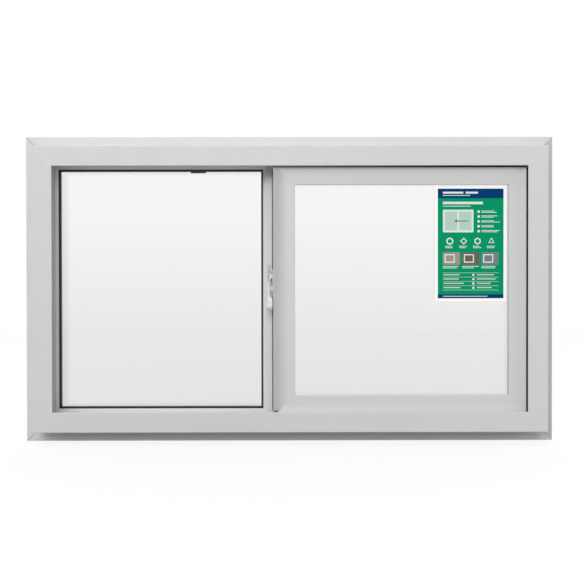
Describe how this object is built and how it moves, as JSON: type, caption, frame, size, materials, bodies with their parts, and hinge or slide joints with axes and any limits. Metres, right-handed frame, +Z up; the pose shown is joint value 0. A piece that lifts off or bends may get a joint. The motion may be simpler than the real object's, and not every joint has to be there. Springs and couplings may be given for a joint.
{
  "type": "horizontal sliding window",
  "caption": "Horizontal sliding window: welded frame with mounting flange, fixed lite, a sash that slides on rollers and a turning latch at the meeting stile.",
  "frame": {"origin": "on the room side of the mounting flange, which bears on the wall, at the middle of its bottom leg", "axes": "+X to the right as seen from the room, +Y from the room to the outside, +Z up"},
  "size_m": [0.946, 0.075, 0.546],
  "materials": {
    "frame_upvc": "satin, extruded and welded white uPVC",
    "sash_upvc": "satin, extruded and welded white uPVC",
    "glass": "clear float glass",
    "gasket_black": "matt black rubber",
    "seal_grey": "matt grey glazing tape",
    "spacer_bar": "mill finish aluminium",
    "pile": "grey polypropylene pile",
    "moulded_plastic": "moulded dark nylon",
    "latch_metal": "white painted zinc casting",
    "keeper_plate": "white painted steel"
  },
  "bodies": {
    "frame": {"frame_head": "frame_upvc", "frame_sill": "frame_upvc", "frame_left_jamb": "frame_upvc", "frame_right_jamb": "frame_upvc", "fixed_mullion": "frame_upvc", "latch_keeper": "keeper_plate", "fixed_pane_room": "glass", "fixed_spacer": "spacer_bar", "fixed_pane_outer": "glass", "fixed_gasket_room": "gasket_black", "glazing_packer": "gasket_black", "fixed_gasket_outer": "gasket_black", "fixed_bead_top": "frame_upvc", "fixed_bead_bottom": "frame_upvc", "fixed_bead_left": "frame_upvc", "fixed_bead_right": "frame_upvc", "fixed_setting_blocks": "moulded_plastic", "travel_stop": "moulded_plastic"},
    "sash": {"sash_top_rail": "sash_upvc", "sash_bottom_rail": "sash_upvc", "sash_meeting_stile": "sash_upvc", "sash_right_stile": "sash_upvc", "sash_bead_top": "sash_upvc", "sash_bead_bottom": "sash_upvc", "sash_bead_left": "sash_upvc", "sash_bead_right": "sash_upvc", "sash_pane_room": "glass", "sash_spacer": "spacer_bar", "sash_pane_outer": "glass", "sash_seal_room": "seal_grey", "sash_seal_outer": "seal_grey", "sash_setting_blocks": "moulded_plastic", "interlock_strip": "sash_upvc", "roller_housings": "moulded_plastic", "roller_wheels": "moulded_plastic", "top_guides": "moulded_plastic", "sash_pile_seals": "pile", "latch_base": "latch_metal"},
    "latch": {"latch_lever": "latch_metal"}
  },
  "joints": [
    {"name": "sash_slide", "type": "slide", "parent": "frame", "child": "sash", "axis": [-1, 0, 0], "range_m": [0, 0.34]},
    {"name": "latch_turn", "type": "hinge", "parent": "sash", "child": "latch", "pos_m": [-0.034, -0.014, 0.287], "axis": [-1, 0, 0], "range_deg": [0, 135]}
  ]
}
